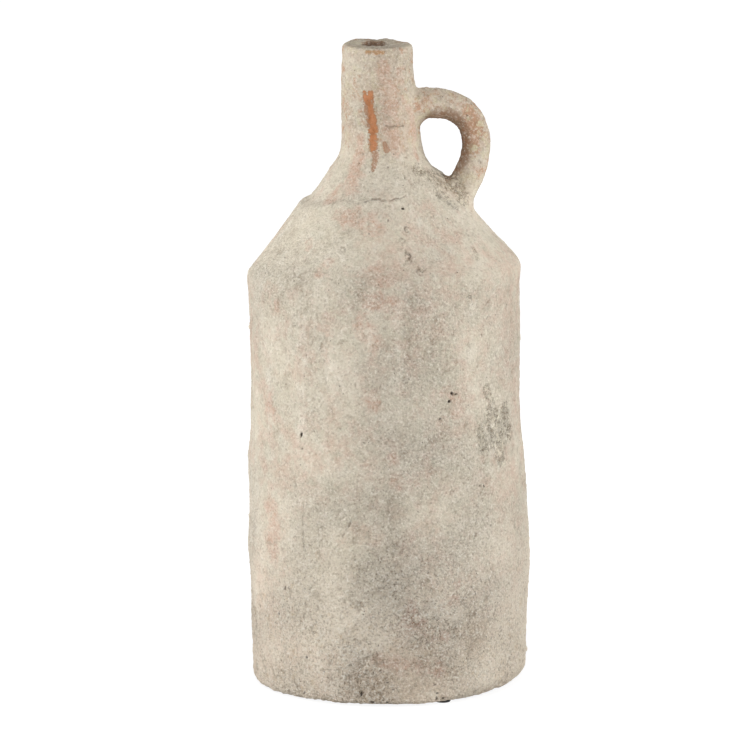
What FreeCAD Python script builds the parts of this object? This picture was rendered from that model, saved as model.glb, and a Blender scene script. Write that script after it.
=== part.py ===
import FreeCAD, Part
import math
import os

import Sketcher
from FreeCAD import Placement, Rotation, Vector

# Hand-built jug of lime-washed earthenware, a bottle with one loop handle, in millimetres.
# The frame has +Z up and +X towards the handle. Its origin is on the floor, below the middle of the foot.
# The jug was made from sections of clay, set one on another and luted with slip. From the floor up they are
# felt pads, base slab, lower wall, upper wall, shoulder, collar, neck and lip, with the handle at the side.
# Its axis bows away from the handle as it rises, so each ring of clay has its own centre along X.

# Each row is a name, a size and what the size is.
SIZES = [
    ("pad_dia", 10.0, "felt pad, across"),
    ("pad_thick", 2.0, "felt pad, thick"),
    ("pad_inset", 1.0, "felt pad, in from the edge of the flat under the base slab"),
    ("pad_turn", -63.6, "first felt pad, degrees round from +X"),
    ("base_thick", 10.0, "base slab, thick"),
    ("base_round", 5.0, "rounding of the base slab's lower edge"),
    ("body_radius", 85.5, "outside radius where the upper wall stands on the lower"),
    ("foot_draw", 0.9, "base slab and lower wall's foot, in from that radius"),
    ("shoulder_draw", 0.8, "upper wall's top and shoulder's foot, in from that radius"),
    ("lower_swell", 2.2, "swelling of the lower wall, halfway up"),
    ("upper_slack", 1.5, "hollow of the upper wall, halfway up"),
    ("lower_height", 134.0, "lower wall, high"),
    ("upper_height", 106.0, "upper wall, high"),
    ("body_wall", 8.5, "lower and upper wall, thick"),
    ("shoulder_height", 47.5, "shoulder, high to its outer edge"),
    ("shoulder_swing", 2.2, "shoulder's turn, out of line towards the handle"),
    ("ledge_width", 7.8, "ledge between the shoulder's edge and the collar"),
    ("ledge_rise", 4.2, "ledge, high from the shoulder's edge to the collar"),
    ("seat_width", 6.4, "seat under the collar, wide"),
    ("seat_clearance", 0.3, "slack round the collar's foot in its seat"),
    ("collar_height", 35.5, "collar, high from its seat"),
    ("collar_hollow", 2.0, "hollow of the collar's side, halfway up"),
    ("collar_wall", 8.0, "collar, thick at its foot"),
    ("neck_taper", 3.3, "neck's outside under the lip, in from that at its foot"),
    ("neck_height", 51.0, "neck, high"),
    ("neck_wall", 13.0, "neck, thick at its foot"),
    ("lip_height", 14.0, "lip, high"),
    ("lip_round", 2.0, "rounding of the lip's outer edge"),
    ("mouth_round", 1.2, "rounding of the mouth's edge"),
    ("bore_radius", 9.2, "bore of the lip, radius"),
    ("foot_shift", 0.3, "foot's centre, towards the handle"),
    ("axis_bow", 8.2, "mouth's centre, away from the handle, from above the foot's centre"),
    ("handle_dia", 17.8, "handle coil, across"),
    ("handle_rise", 27.6, "middle of the handle's top run, above the neck's foot"),
    ("handle_bend", 22.6, "bend at the handle's top, radius"),
    ("handle_side", 60.0, "slow curve of the handle's side, radius"),
    ("handle_bulge", 16.8, "handle's side, out from where the coil ends in the shoulder"),
    ("handle_foot_in", 4.0, "coil's end, in from the collar's foot"),
    ("handle_bury", 4.0, "coil's end, below the ledge's outer edge"),
    ("lute_flare", 5.4, "clay wad round the handle's end, out from the coil at its root"),
    ("lute_edge", 0.6, "clay wad, thick where it runs out along the coil"),
    ("lute_run", 9.0, "clay wad, length along the coil from the neck"),
    ("lute_drop", 3.0, "upper wad's root, below the middle of the coil"),
    ("lower_lute_run", 15.0, "lower wad, length up from the coil's end"),
]
PAD_COUNT = 3
FULL_TURN = 360
QUARTER_TURN = "90 deg"
# Rings up the shoulder: each one's height as a share of the shoulder's, how far in its edge has come, as a
# share of the way to the ledge, and how far out of line it is, as a share of the most. The side starts
# upright, turns, and ends as a straight slope.
SHOULDER_SHARES = (
    (0.0, 0.0, 0.0),
    (0.13, 0.03, 0.5),
    (0.3, 0.16, 1.0),
    (0.5, 0.39, 0.8),
    (0.75, 0.69, 0.4),
    (1.0, 1.0, 0.0),
)
# The ledge's outer edge, as a share of the shoulder's radius at its foot, and the neck's foot, of the
# ledge's.
LEDGE_SHARE = 0.6187
NECK_SHARE = 0.4809
# The most of a slab's height, and of the lip's wall, that one rounding takes.
SLAB_ROUND_SHARE = 0.9
LIP_ROUND_SHARE = 0.45

doc = FreeCAD.newDocument("jug")
sheet = doc.addObject("Spreadsheet::Sheet", "Sizes")
for row, (alias, value, meaning) in enumerate(SIZES, start=1):
    sheet.set(f"A{row}", alias)
    sheet.set(f"B{row}", str(value))
    sheet.set(f"C{row}", meaning)
    sheet.setAlias(f"B{row}", alias)
doc.recompute()

# Heights of the joints between the sections, each the sum of what stands below it.
SLAB_FOOT = "Sizes.pad_thick"
WALL_FOOT = f"{SLAB_FOOT} + Sizes.base_thick"
WALL_JOINT = f"{WALL_FOOT} + Sizes.lower_height"
SHOULDER_FOOT = f"{WALL_JOINT} + Sizes.upper_height"
LEDGE = f"{SHOULDER_FOOT} + Sizes.shoulder_height"
LEDGE_TOP = f"{LEDGE} + Sizes.ledge_rise"
NECK_FOOT = f"{LEDGE} + Sizes.collar_height"
LIP_FOOT = f"{NECK_FOOT} + Sizes.neck_height"
RIM = f"{LIP_FOOT} + Sizes.lip_height"
HANDLE_TOP = f"{NECK_FOOT} + Sizes.handle_rise"

# Radii that follow from the others.
FOOT_RADIUS = "(Sizes.body_radius - Sizes.foot_draw)"
SHOULDER_RADIUS = "(Sizes.body_radius - Sizes.shoulder_draw)"
LEDGE_RADIUS = f"({SHOULDER_RADIUS} * {LEDGE_SHARE})"
SEAT_RADIUS = f"{LEDGE_RADIUS} - Sizes.ledge_width"
COLLAR_FOOT_RADIUS = f"{SEAT_RADIUS} - Sizes.seat_clearance"
NECK_FOOT_RADIUS = f"({LEDGE_RADIUS} * {NECK_SHARE})"
NECK_TOP_RADIUS = f"({NECK_FOOT_RADIUS} - Sizes.neck_taper)"
COLLAR_WAIST_RADIUS = f"({COLLAR_FOOT_RADIUS} + {NECK_FOOT_RADIUS}) / 2 - Sizes.collar_hollow"
BELLY_RADIUS = f"({FOOT_RADIUS} + Sizes.body_radius) / 2 + Sizes.lower_swell"
WAIST_RADIUS = f"({SHOULDER_RADIUS} + Sizes.body_radius) / 2 - Sizes.upper_slack"
COIL_RADIUS = "Sizes.handle_dia / 2"
FLAT_RADIUS = f"{FOOT_RADIUS} - Sizes.base_round"


def axis_at(height):
    """Expression for the X of the jug's bowed axis at a height."""
    return f"(Sizes.foot_shift - Sizes.axis_bow * pow(({height}) / ({RIM}); 2))"


def between(low, high):
    """Expression for the height halfway between two."""
    return f"(({low}) + ({high})) / 2"


def less(radius, thickness):
    """Expression for a radius less one of the sizes, as inside a wall."""
    return f"({radius}) - Sizes.{thickness}"


def place(piece, **parts):
    """Binds parts of a piece's placement, such as x or z, to expressions."""
    for part, expression in parts.items():
        piece.setExpression(f".Placement.Base.{part}", expression)
    return piece


def ring(height, radius, centre=None):
    """A level circle of clay's edge, with its centre on the axis."""
    circle = doc.addObject("Part::Circle", "ring")
    circle.setExpression("Radius", radius)
    return place(circle, x=centre or axis_at(height), z=height)


def loft(name, rings):
    solid = doc.addObject("Part::Loft", name)
    solid.Sections = rings
    solid.Solid = True
    return solid


def fuse(name, solids):
    whole = doc.addObject("Part::MultiFuse", name)
    whole.Shapes = solids
    return whole


def cut(name, base, tool):
    rest = doc.addObject("Part::Cut", name)
    rest.Base = base
    rest.Tool = tool
    return rest


def body_named(name):
    return doc.addObject("PartDesign::Body", name)


def sketch_on(body, role, name, offset):
    """A sketch parallel to one of the body's own origin planes, off it by an expression."""
    plane = next(feature for feature in body.Origin.OriginFeatures if feature.Role == role)
    sketch = body.newObject("Sketcher::SketchObject", name)
    sketch.AttachmentSupport = [(plane, "")]
    sketch.MapMode = "FlatFace"
    sketch.setExpression(".AttachmentOffset.Base.z", offset)
    return sketch


def constrain(sketch, kind, where, expression):
    """Adds a constraint whose value is an expression."""
    start = float(sketch.evalExpression(expression))
    index = sketch.addConstraint(Sketcher.Constraint(kind, *where, start))
    sketch.setExpression(f"Constraints[{index}]", expression)


def circle_in(sketch, radius, across, along):
    """A circle whose radius and centre are expressions."""
    start = float(sketch.evalExpression(radius))
    circle = sketch.addGeometry(Part.Circle(Vector(), Vector(0, 0, 1), start))
    constrain(sketch, "Radius", (circle,), radius)
    constrain(sketch, "DistanceX", (-1, 1, circle, 3), across)
    constrain(sketch, "DistanceY", (-1, 1, circle, 3), along)


def add_disc(body, radii, foot, height, across, along="0"):
    """A round slab as the body's first solid, or a ring if there are two radii."""
    sketch = sketch_on(body, "XY_Plane", f"{body.Name}_outline", foot)
    for radius in radii:
        circle_in(sketch, radius, across, along)
    slab = body.newObject("PartDesign::Pad", f"{body.Name}_slab")
    slab.Profile = sketch
    slab.setExpression("Length", height)
    return slab


def round_edge(body, name, radius, base, level, choose):
    """Rounds an edge of the base feature at a level: max chooses the widest there, min the narrowest."""
    doc.recompute()
    edges = {}
    for number, edge in enumerate(base.Shape.Edges, 1):
        if edge.Closed and math.isclose(edge.CenterOfMass.z, level, abs_tol=Part.Precision.approximation()):
            edges[edge.BoundBox.XLength] = f"Edge{number}"
    rounding = body.newObject("PartDesign::Fillet", name)
    rounding.Base = (base, [edges[choose(edges)]])
    rounding.setExpression("Radius", radius)
    return rounding


def make_base_slab():
    body = body_named("base_slab")
    slab = add_disc(body, [FOOT_RADIUS], SLAB_FOOT, "Sizes.base_thick", axis_at(SLAB_FOOT))
    doc.recompute()
    radius = f"min(Sizes.base_round; Sizes.base_thick * {SLAB_ROUND_SHARE})"
    round_edge(body, "base_rounding", radius, slab, slab.Shape.BoundBox.ZMin, max)
    return body


def make_felt_pads():
    pads = []
    for number in range(PAD_COUNT):
        body = body_named(f"felt_pad_{number + 1}")
        reach = f"({FLAT_RADIUS} - Sizes.pad_inset - Sizes.pad_dia / 2)"
        angle = f"((Sizes.pad_turn + {FULL_TURN * number / PAD_COUNT}) * 1 deg)"
        across = f"{axis_at(SLAB_FOOT)} + {reach} * cos({angle})"
        add_disc(body, ["Sizes.pad_dia / 2"], "0", "Sizes.pad_thick", across, f"{reach} * sin({angle})")
        pads.append(body)
    return pads


def make_wall(name, foot, top, radii):
    """A drum of clay, from its outside radii at the foot, halfway up and at the top."""
    levels = list(zip((foot, between(foot, top), top), radii))
    outside = loft(f"{name}_outside", [ring(height, radius) for height, radius in levels])
    inside = loft(f"{name}_inside", [ring(height, less(radius, "body_wall")) for height, radius in levels])
    return cut(name, outside, inside)


def make_shoulder():
    """The shoulder and its outside: a bowl's rim turned over, with a seat cut for the collar."""
    rings = []
    for rise_share, inset_share, swing_share in SHOULDER_SHARES:
        height = f"{SHOULDER_FOOT} + Sizes.shoulder_height * {rise_share}"
        radius = f"{SHOULDER_RADIUS} - ({SHOULDER_RADIUS} - {LEDGE_RADIUS}) * {inset_share}"
        centre = f"{axis_at(height)} + Sizes.shoulder_swing * {swing_share}"
        rings.append(ring(height, radius, centre))
    slope = loft("shoulder_slope", rings)
    ledge = loft("shoulder_ledge", [ring(LEDGE, LEDGE_RADIUS), ring(LEDGE_TOP, SEAT_RADIUS)])
    outside = fuse("shoulder_outside", [slope, ledge])
    foot_opening = ring(SHOULDER_FOOT, less(SHOULDER_RADIUS, "body_wall"))
    top_opening = ring(LEDGE, less(SEAT_RADIUS, "seat_width"))
    hollow = loft("shoulder_hollow", [foot_opening, top_opening])
    seat = loft("shoulder_seat", [ring(LEDGE, SEAT_RADIUS), ring(LEDGE_TOP, SEAT_RADIUS)])
    return cut("shoulder_cone", outside, fuse("shoulder_inside", [hollow, seat])), outside


def make_collar():
    """The collar and its outside: a short drum in the seat, and a hollow-sided cone up to the neck."""
    drum = loft("collar_drum", [ring(LEDGE, COLLAR_FOOT_RADIUS), ring(LEDGE_TOP, COLLAR_FOOT_RADIUS)])
    waist = ring(between(LEDGE_TOP, NECK_FOOT), COLLAR_WAIST_RADIUS)
    top = ring(NECK_FOOT, NECK_FOOT_RADIUS)
    cone = loft("collar_cone", [ring(LEDGE_TOP, COLLAR_FOOT_RADIUS), waist, top])
    outside = fuse("collar_outside", [drum, cone])
    foot_opening = ring(LEDGE, less(COLLAR_FOOT_RADIUS, "collar_wall"))
    top_opening = ring(NECK_FOOT, less(NECK_FOOT_RADIUS, "neck_wall"))
    return cut("neck_collar", outside, loft("collar_inside", [foot_opening, top_opening])), outside


def make_neck():
    foot = ring(NECK_FOOT, NECK_FOOT_RADIUS)
    outside = loft("neck_outside", [foot, ring(LIP_FOOT, NECK_TOP_RADIUS)])
    foot_opening = ring(NECK_FOOT, less(NECK_FOOT_RADIUS, "neck_wall"))
    inside = loft("neck_inside", [foot_opening, ring(LIP_FOOT, "Sizes.bore_radius")])
    return cut("neck_tube", outside, inside), outside


def make_lip():
    """The lip: a thick upright ring round the bore, rounded at both edges of its top."""
    body = body_named("rim_lip")
    radii = [NECK_TOP_RADIUS, "Sizes.bore_radius"]
    slab = add_disc(body, radii, LIP_FOOT, "Sizes.lip_height", axis_at(LIP_FOOT))
    doc.recompute()
    rim = slab.Shape.BoundBox.ZMax
    wall = f"({NECK_TOP_RADIUS} - Sizes.bore_radius)"
    limit = f"{wall} * {LIP_ROUND_SHARE}"
    lip_edge = round_edge(body, "lip_rounding", f"min(Sizes.lip_round; {limit})", slab, rim, max)
    round_edge(body, "mouth_rounding", f"min(Sizes.mouth_round; {limit})", lip_edge, rim, min)
    return body


# The coil's path lies in the plane Y = 0: level out of the neck, round a quarter bend, down the side in a
# slow curve that turns in, and straight into the shoulder.
COIL_START = axis_at(HANDLE_TOP)
COIL_END = f"{axis_at(LEDGE)} + {COLLAR_FOOT_RADIUS} - Sizes.handle_foot_in"
COIL_END_HEIGHT = f"{LEDGE} - Sizes.handle_bury"
COIL_REACH = f"{COIL_END} + Sizes.handle_bulge"
# From the middle of the side's curve to the coil's end, and the turn of that curve.
ACROSS = "(Sizes.handle_side - Sizes.handle_bulge)"
DOWN = f"({HANDLE_TOP} - Sizes.handle_bend - ({COIL_END_HEIGHT}))"
SIDE_TURN = f"(atan2({DOWN}; {ACROSS}) - acos(Sizes.handle_side / hypot({DOWN}; {ACROSS})))"


def arc_in(sketch, centre, radius, start, end):
    circle = Part.Circle(centre, Vector(0, 0, 1), radius)
    return sketch.addGeometry(Part.ArcOfCircle(circle, start, end))


def point_at(sketch, geometry, end, across, along):
    constrain(sketch, "DistanceX", (-1, 1, geometry, end), across)
    constrain(sketch, "DistanceY", (-1, 1, geometry, end), along)


def join(sketch, first, first_end, second, second_end):
    sketch.addConstraint(Sketcher.Constraint("Tangent", first, first_end, second, second_end))


def make_coil():
    """The handle's coil, whole, before the jug's wall is taken from its ends."""
    body = body_named("handle_coil")
    path = sketch_on(body, "XZ_Plane", "coil_path", "0")

    def value(expression):
        return float(path.evalExpression(expression))

    bend, side, reach = value("Sizes.handle_bend"), value("Sizes.handle_side"), value(COIL_REACH)
    level = value(HANDLE_TOP)
    turn = math.radians(value(f"{SIDE_TURN} / 1 deg"))
    bend_start = Vector(reach - bend, level, 0)
    side_centre = Vector(reach - side, level - bend, 0)
    side_end = side_centre + Vector(side * math.cos(turn), -side * math.sin(turn), 0)
    coil_end = Vector(value(COIL_END), value(COIL_END_HEIGHT), 0)
    top_run = path.addGeometry(Part.LineSegment(Vector(value(COIL_START), level, 0), bend_start))
    bend_arc = arc_in(path, bend_start - Vector(0, bend, 0), bend, 0, math.pi / 2)
    side_arc = arc_in(path, side_centre, side, -turn, 0)
    foot_run = path.addGeometry(Part.LineSegment(side_end, coil_end))
    join(path, top_run, 2, bend_arc, 2)
    join(path, bend_arc, 1, side_arc, 2)
    join(path, side_arc, 1, foot_run, 1)
    path.addConstraint(Sketcher.Constraint("Horizontal", top_run))
    path.addConstraint(Sketcher.Constraint("Horizontal", bend_arc, 3, bend_arc, 1))
    point_at(path, top_run, 1, COIL_START, HANDLE_TOP)
    point_at(path, foot_run, 2, COIL_END, COIL_END_HEIGHT)
    constrain(path, "Radius", (bend_arc,), "Sizes.handle_bend")
    constrain(path, "Radius", (side_arc,), "Sizes.handle_side")

    section = sketch_on(body, "YZ_Plane", "coil_section", COIL_START)
    circle_in(section, COIL_RADIUS, "0", HANDLE_TOP)
    coil = body.newObject("PartDesign::AdditivePipe", "coil_pipe")
    coil.Profile = section
    coil.Spine = (path, [])
    return body


def facing_ring(turn, radius, across, height):
    """A circle turned about Y by an expression, from facing up."""
    circle = doc.addObject("Part::Circle", "ring")
    circle.Placement = Placement(Vector(), Rotation(Vector(0, 1, 0), Vector(0, 0, 1), Vector(1, 0, 0)))
    circle.setExpression(".Placement.Rotation.Angle", turn)
    circle.setExpression("Radius", radius)
    return place(circle, x=across, z=height)


def make_lutes(coil, skin):
    """The clay wads smeared round the coil's ends, each a cone from the jug's wall out along the coil."""
    root, edge = f"{COIL_RADIUS} + Sizes.lute_flare", f"{COIL_RADIUS} + Sizes.lute_edge"
    root_across = f"{COIL_START} + {NECK_TOP_RADIUS} / 2"
    edge_across = f"{COIL_START} + {NECK_TOP_RADIUS} + Sizes.lute_run"
    upper = [
        facing_ring(QUARTER_TURN, root, root_across, f"{HANDLE_TOP} - Sizes.lute_drop"),
        facing_ring(QUARTER_TURN, edge, edge_across, HANDLE_TOP),
    ]
    lower = [
        facing_ring(SIDE_TURN, root, COIL_END, COIL_END_HEIGHT),
        facing_ring(
            SIDE_TURN,
            edge,
            f"{COIL_END} + Sizes.lower_lute_run * sin({SIDE_TURN})",
            f"{COIL_END_HEIGHT} + Sizes.lower_lute_run * cos({SIDE_TURN})",
        ),
    ]
    inner = fuse("lute_inside", [skin, coil])
    return [
        cut("handle_upper_lute", loft("upper_lute_cone", upper), inner),
        cut("handle_lower_lute", loft("lower_lute_cone", lower), inner),
    ]


def check(nodes):
    """Stops unless every object is sound, every cut took something away and every node is one solid."""
    for thing in doc.Objects:
        if "Invalid" in thing.State or "Error" in thing.State:
            raise RuntimeError(f"{thing.Label} failed: {thing.State}")
        if thing.TypeId == "Part::Cut" and not thing.Shape.Volume < thing.Base.Shape.Volume:
            raise RuntimeError(f"{thing.Label} cuts nothing")
    for node in nodes:
        if node.Shape.isNull() or not node.Shape.isValid() or len(node.Shape.Solids) != 1:
            raise RuntimeError(f"{node.Label} isn't one valid solid")


def main():
    pads = make_felt_pads()
    lower_radii = (FOOT_RADIUS, BELLY_RADIUS, "Sizes.body_radius")
    upper_radii = ("Sizes.body_radius", WAIST_RADIUS, SHOULDER_RADIUS)
    lower_wall = make_wall("lower_wall", WALL_FOOT, WALL_JOINT, lower_radii)
    upper_wall = make_wall("upper_wall", WALL_JOINT, SHOULDER_FOOT, upper_radii)
    shoulder, shoulder_skin = make_shoulder()
    collar, collar_skin = make_collar()
    neck, neck_skin = make_neck()
    coil = make_coil()
    skin = fuse("jug_skin", [shoulder_skin, collar_skin, neck_skin])
    handle = cut("handle_loop", coil, skin)
    nodes = pads + [make_base_slab(), lower_wall, upper_wall, shoulder, collar, neck, make_lip(), handle]
    nodes += make_lutes(coil, skin)
    doc.recompute()
    check(nodes)
    os.makedirs("parts", exist_ok=True)
    for node in nodes:
        box = node.Shape.optimalBoundingBox()
        node.Shape.exportStep(f"parts/{node.Label}.step")
        print(f"{node.Label}: {node.Shape.Volume:.0f} mm3, X {box.XMin:.1f} to {box.XMax:.1f}, "
              f"Y {box.YMin:.1f} to {box.YMax:.1f}, Z {box.ZMin:.1f} to {box.ZMax:.1f}")


main()
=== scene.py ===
import itertools
import math

import bpy
import numpy as np
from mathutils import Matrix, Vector


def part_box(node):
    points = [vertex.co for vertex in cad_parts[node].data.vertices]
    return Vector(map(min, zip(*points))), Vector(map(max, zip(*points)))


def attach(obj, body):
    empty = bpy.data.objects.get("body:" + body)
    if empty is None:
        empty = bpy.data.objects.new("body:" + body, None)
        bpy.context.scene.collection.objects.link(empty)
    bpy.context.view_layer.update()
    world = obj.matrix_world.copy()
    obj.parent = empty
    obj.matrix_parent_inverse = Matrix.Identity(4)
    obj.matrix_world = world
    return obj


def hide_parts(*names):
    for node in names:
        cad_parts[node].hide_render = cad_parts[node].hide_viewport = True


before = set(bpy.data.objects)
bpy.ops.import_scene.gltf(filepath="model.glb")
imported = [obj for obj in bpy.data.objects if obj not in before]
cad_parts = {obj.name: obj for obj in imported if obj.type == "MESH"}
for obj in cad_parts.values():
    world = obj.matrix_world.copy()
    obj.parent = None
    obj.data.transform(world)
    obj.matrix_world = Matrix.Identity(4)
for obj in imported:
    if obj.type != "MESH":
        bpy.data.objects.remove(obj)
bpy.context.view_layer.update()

# Looks of a hand-built jug of lime-washed clay. Shapes are worked out in millimetres and turned into metres
# as each mesh is made. +Z is up, +X points towards the handle and the camera looks from -Y.
MM = 0.001
# Keeps a divisor above nothing.
TINY = 1e-9

# Noise and strewn spots come from tables of random numbers, which are the same in every run.
SEED = 20
TABLE_SIZE = 1 << 14
rng = np.random.RandomState(SEED)
table_numbers = rng.random_sample((TABLE_SIZE, 5)).astype(np.float32)
table_slopes = rng.normal(size=(TABLE_SIZE, 3)).astype(np.float32)
table_slopes /= np.linalg.norm(table_slopes, axis=1, keepdims=True)
CORNERS = [np.array(corner) for corner in itertools.product((0, 1), repeat=3)]
HASH_PRIMES = (73856093, 19349663, 83492791)
SALT_PRIME = 2654435
SALT_SHIFT = 17.31
NOISE_SPREAD = 0.25
SPOT_CURVE = 1.5


def table_rows(cell, salt):
    """A row of the random tables for each cell of space."""
    mixed = cell[..., 0] * HASH_PRIMES[0] ^ cell[..., 1] * HASH_PRIMES[1] ^ cell[..., 2] * HASH_PRIMES[2]
    return (mixed ^ (salt * SALT_PRIME)) & (TABLE_SIZE - 1)


def noise(p, size, salt):
    """Smooth noise with lumps about as wide as the size, and a spread of about one."""
    q = p / size + salt * SALT_SHIFT
    cell = np.floor(q).astype(np.int64)
    f = q - cell
    w = f * f * f * (f * (f * 6 - 15) + 10)
    total = np.zeros(p.shape[:-1])
    for corner in CORNERS:
        slopes = table_slopes[table_rows(cell + corner, salt)]
        total += ((f - corner) * slopes).sum(-1) * np.where(corner, w, 1 - w).prod(-1)
    return total / NOISE_SPREAD


def spots(p, spacing, salt, share, smallest=0.2):
    """Round bumps strewn through space, up to one high; radii run up to half the spacing."""
    q = p / spacing + salt * SALT_SHIFT
    first = np.floor(q - 0.5).astype(np.int64)
    total = np.zeros(p.shape[:-1])
    for corner in CORNERS:
        cell = first + corner
        numbers = table_numbers[table_rows(cell, salt)]
        radius = smallest + (0.5 - smallest) * numbers[..., 3]
        near = 1 - ((q - cell - numbers[..., :3]) ** 2).sum(-1) / radius ** 2
        there = numbers[..., 4] < share
        total = np.maximum(total, np.where(there, near.clip(0, 1) ** SPOT_CURVE, 0) * radius * 2)
    return total


def step(low, high, value):
    """Rises smoothly from 0 at low to 1 at high."""
    t = np.clip((value - low) / (high - low), 0, 1)
    return t * t * (3 - 2 * t)


# The jug's outline as height, X of the centre and radius, for the body and shoulder, and for the rest above.
BODY_ROWS = [
    (0, 0.1, 84.7), (12, 0.3, 85), (28, 0.1, 85.5), (44, 0.1, 86.1), (64, 0.3, 86.6), (84, -0.2, 87.4),
    (108, -0.1, 86.4), (128, -0.8, 86.3), (142, -1.4, 86), (151, -1.2, 84.9), (164, -1.7, 84.2),
    (188, -2.1, 83.5), (230, -2.3, 83.4), (243, -2.9, 83.7), (253.5, -3.1, 84.3), (257, -2.6, 84.4),
    (261, -1.5, 83.2), (264.5, -0.3, 81.3), (268.5, -0.6, 78), (276, -1.6, 71.5), (291, -3.3, 58.9),
    (299.5, -4, 52.3), (335, -5.4, 24.5),
]
NECK_ROWS = [
    (280, -2.1, 63), (304, -4.3, 44.9), (310, -4.6, 40), (314.5, -4.7, 36.8), (318, -4.8, 34.5),
    (322, -4.9, 31.8), (326, -4.9, 28.6), (330, -4.9, 26.2), (334, -4.9, 25), (340, -5.1, 24.2),
    (348, -5.7, 24), (360, -6.2, 23.5), (375, -6.8, 22.7), (386, -7.2, 21.8), (402, -7.5, 21.7),
]
# The seam where the collar meets the shoulder: angle, its height, and how high the shoulder's clay is drawn
# up over it. The ledge is plain on the side away from the handle.
SEAM_ROWS = [
    (-180, 300.4, 2.6), (-150, 301.6, 4), (-119, 304.6, 8), (-78, 309.5, 19), (-40, 314, 13), (-15, 317, 6),
    (0, 318, 5), (20, 317, 6), (60, 312, 13), (95, 307, 14), (125, 304, 8), (155, 301.6, 4),
    (180, 300.4, 2.6),
]
# Radius of the foot's rounded edge, which is widest under the handle.
FOOT_ROWS = [
    (-180, 4.5), (-120, 3), (-85, 2.6), (-72, 3.4), (-62, 6), (-50, 9), (-20, 11.5), (0, 12), (25, 11),
    (60, 5), (110, 3.6), (180, 4.5),
]
# Heights of the underside and of the joints between the pieces, up to the top.
FOOT = 2.0
SLAB_TOP = 12.0
DRUM_JOINT = 146
SHOULDER_FOOT = 252
LEDGE = 299.5
LEDGE_TOP = 303.7
NECK_FOOT = 335
LIP_FOOT = 386
TOP = 400.0
# Where the collar's own outline may start, and where the centre line passes from one table to the other.
COLLAR_FROM = 290
CENTRE_CHANGE = 300
FINE_STEP = 0.25
fine_z = np.arange(-4, 408, FINE_STEP)
SOFTEN = 1.3
SOFTEN_REACH = 5 * SOFTEN


def from_rows(value, rows, column):
    """A column of a table, read at values of its first column."""
    return np.interp(value, [row[0] for row in rows], [row[column] for row in rows])


def softened(rows, column):
    """A column of a table at the fine heights, with its corners rounded off."""
    values = from_rows(fine_z, rows, column)
    reach = np.arange(-SOFTEN_REACH, SOFTEN_REACH, FINE_STEP)
    kernel = np.exp(-0.5 * (reach / SOFTEN) ** 2)
    half = len(kernel) // 2
    padded = np.pad(values, half, mode="edge")
    return np.convolve(padded, kernel / kernel.sum(), "same")[half:half + len(values)]


body_radius = softened(BODY_ROWS, 2)
neck_radius = softened(NECK_ROWS, 2)
low_rows = [row for row in BODY_ROWS if row[0] < CENTRE_CHANGE]
high_rows = [row for row in NECK_ROWS if row[0] > CENTRE_CHANGE]
centre_line = softened(low_rows + high_rows, 1)


def centre_x(z):
    return np.interp(z, fine_z, centre_line)


def turn_of(p):
    """Degrees round the jug's axis from +X."""
    return np.degrees(np.arctan2(p[..., 1], p[..., 0] - centre_x(p[..., 2])))


def radius_at(turn, z):
    """The outline's radius, with the shoulder's clay drawn up over the seam and the foot's edge rounded."""
    low = np.interp(z, fine_z, body_radius)
    high = np.interp(z, fine_z, neck_radius)
    seam, run = from_rows(turn, SEAM_ROWS, 1), from_rows(turn, SEAM_ROWS, 2)
    low_share = 1 - step(seam, seam + run, z)
    radius = np.where(z < COLLAR_FROM, low, high + (low - high) * low_share)
    edge = from_rows(turn, FOOT_ROWS, 1)
    down = (edge - (z - FOOT)).clip(0, None).clip(None, edge)
    return radius - (edge - np.sqrt((edge ** 2 - down ** 2).clip(0, None)))


def round_points(radius, a, z):
    """Points round the centre line, from radii, angles in radians and heights."""
    return np.stack([centre_x(z) + radius * np.cos(a), radius * np.sin(a), z + 0 * a], -1)


def wall_points(turn, z):
    """Points of the jug's outside before its relief, from degrees and heights."""
    return round_points(radius_at(turn, z), np.radians(turn), z)


# Marks on the clay. Strokes are points as degrees round the jug, height and half width in millimetres.
BARE_STROKES = [
    [(-112, 372, 1.2), (-110, 369, 1.8), (-107, 365, 1.3)],
    [(-103, 372, 1.7), (-103, 364, 2.3), (-101, 357, 2.5), (-100, 350, 2.6), (-101, 343, 2.7),
     (-102, 338, 1.9)],
]
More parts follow.
